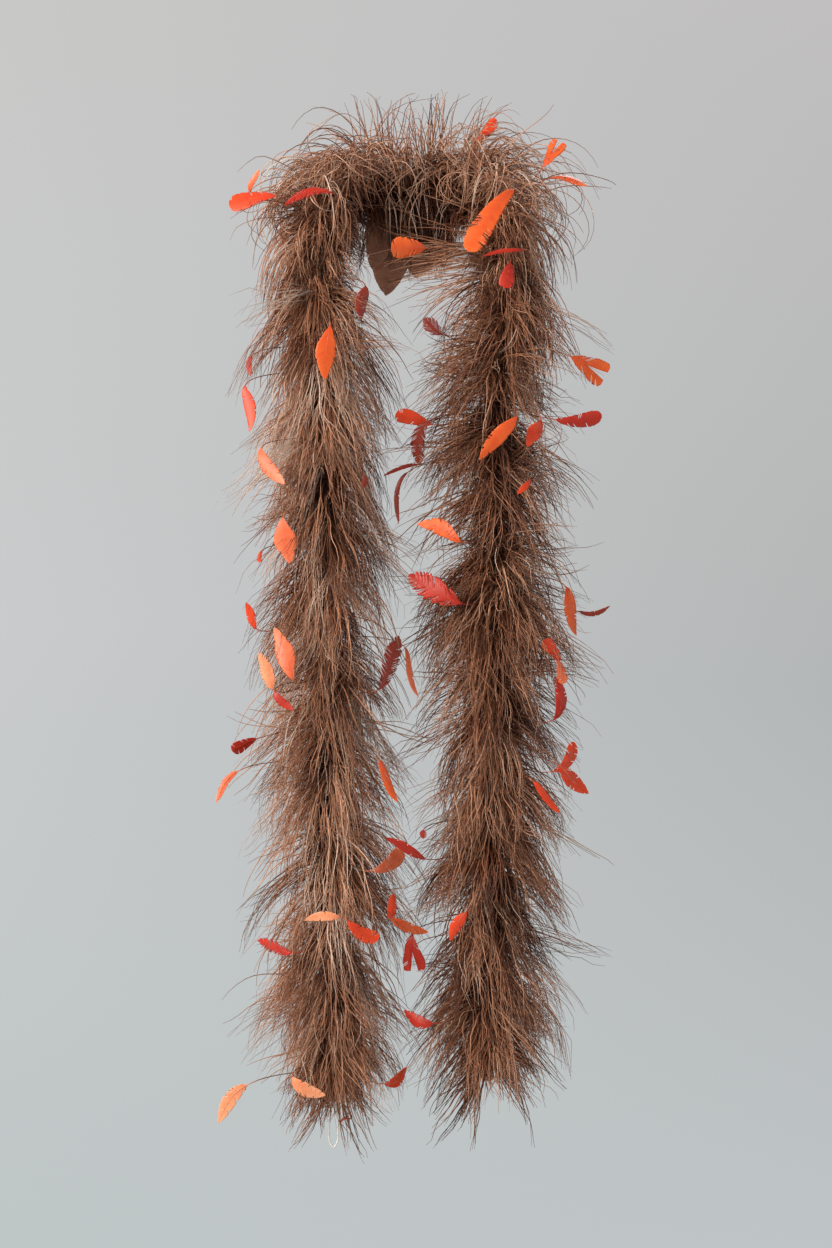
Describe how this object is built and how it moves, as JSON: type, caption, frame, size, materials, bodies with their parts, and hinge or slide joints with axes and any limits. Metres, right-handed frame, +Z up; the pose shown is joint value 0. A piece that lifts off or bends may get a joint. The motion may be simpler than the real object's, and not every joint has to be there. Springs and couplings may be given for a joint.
{
  "type": "feather boa",
  "caption": "Long feather scarf that loops round the neck and hangs as two full tails of drooping ostrich flues, with small dyed accent feathers.",
  "frame": {"origin": "on the axis of the neck that wears it, at the height where the nape carries the loop", "axes": "+Z up along the neck, -Y to the wearer's front, where both tails hang, +X to the right of someone who faces the wearer"},
  "size_m": [0.354, 0.2395, 0.962],
  "materials": {
    "core_cord": "matt twisted cotton cord",
    "binding_thread": "matt waxed cotton thread",
    "ostrich_flues": "dyed ostrich flues, soft and slightly glossy along each strand",
    "tie_cord": "white rayon cord, satin",
    "accent_orange": "dyed goose feather, satin",
    "accent_vermilion": "dyed goose feather, satin",
    "accent_coral": "dyed goose feather, satin, lit through",
    "accent_peach": "dyed goose feather, satin, pale",
    "accent_red": "dyed goose feather, satin",
    "accent_dark_red": "dyed goose feather, satin, in its own shade"
  },
  "bodies": {
    "neck_loop": {"accent_loop_left_1": "accent_red", "accent_loop_left_2": "accent_vermilion", "accent_loop_right_1": "accent_vermilion", "accent_loop_right_2": "accent_orange", "accent_loop_right_3": "accent_orange", "accent_loop_right_4": "accent_orange", "cord_neck_loop": "core_cord", "plume_crown": "ostrich_flues", "plume_shoulder_left_1": "ostrich_flues", "plume_shoulder_left_2": "ostrich_flues", "plume_shoulder_right_1": "ostrich_flues", "plume_shoulder_right_2": "ostrich_flues"},
    "left_upper": {"accent_left_1": "accent_vermilion", "accent_left_2": "accent_coral", "accent_left_3": "accent_coral", "cord_left_upper": "core_cord", "plume_left_1": "ostrich_flues", "plume_left_2": "ostrich_flues", "plume_left_3": "ostrich_flues"},
    "left_middle": {"accent_left_4": "accent_coral", "accent_left_5": "accent_dark_red", "accent_left_6": "accent_red", "cord_left_middle": "core_cord", "plume_left_4": "ostrich_flues", "plume_left_5": "ostrich_flues"},
    "left_lower": {"accent_left_10": "accent_peach", "accent_left_11": "accent_vermilion", "accent_left_12": "accent_peach", "accent_left_7": "accent_coral", "accent_left_8": "accent_peach", "accent_left_9": "accent_red", "cord_left_lower": "core_cord", "knot_left": "core_cord", "plume_left_6": "ostrich_flues", "plume_left_7": "ostrich_flues", "plume_left_8": "ostrich_flues", "tie_loop_left": "tie_cord", "whipping_left": "binding_thread"},
    "right_upper": {"accent_right_1": "accent_orange", "accent_right_2": "accent_red", "accent_right_3": "accent_vermilion", "accent_right_4": "accent_orange", "accent_right_5": "accent_dark_red", "accent_right_6": "accent_orange", "cord_right_upper": "core_cord", "plume_right_1": "ostrich_flues", "plume_right_2": "ostrich_flues", "plume_right_3": "ostrich_flues"},
    "right_middle": {"accent_right_7": "accent_vermilion", "cord_right_middle": "core_cord", "plume_right_4": "ostrich_flues", "plume_right_5": "ostrich_flues"},
    "right_lower": {"accent_right_8": "accent_vermilion", "accent_right_9": "accent_red", "cord_right_lower": "core_cord", "knot_right": "core_cord", "plume_right_6": "ostrich_flues", "plume_right_7": "ostrich_flues", "plume_right_8": "ostrich_flues", "whipping_right": "binding_thread"}
  },
  "joints": [
    {"name": "left_shoulder_swing", "type": "hinge", "parent": "neck_loop", "child": "left_upper", "pos_m": [-0.083, -0.035, -0.105], "axis": [-1, 0, 0], "range_deg": [-10, 45]},
    {"name": "left_side_bend", "type": "hinge", "parent": "left_upper", "child": "left_middle", "pos_m": [-0.0775, -0.035, -0.3757], "axis": [0, 1, 0], "range_deg": [0, 30]},
    {"name": "left_lower_swing", "type": "hinge", "parent": "left_middle", "child": "left_lower", "pos_m": [-0.0745, -0.035, -0.5562], "axis": [-1, 0, 0], "range_deg": [-25, 35]},
    {"name": "right_shoulder_swing", "type": "hinge", "parent": "neck_loop", "child": "right_upper", "pos_m": [0.087, -0.035, -0.105], "axis": [-1, 0, 0], "range_deg": [-10, 45]},
    {"name": "right_side_bend", "type": "hinge", "parent": "right_upper", "child": "right_middle", "pos_m": [0.0788, -0.035, -0.3681], "axis": [0, -1, 0], "range_deg": [0, 30]},
    {"name": "right_lower_swing", "type": "hinge", "parent": "right_middle", "child": "right_lower", "pos_m": [0.0728, -0.035, -0.544], "axis": [-1, 0, 0], "range_deg": [-25, 35]}
  ]
}
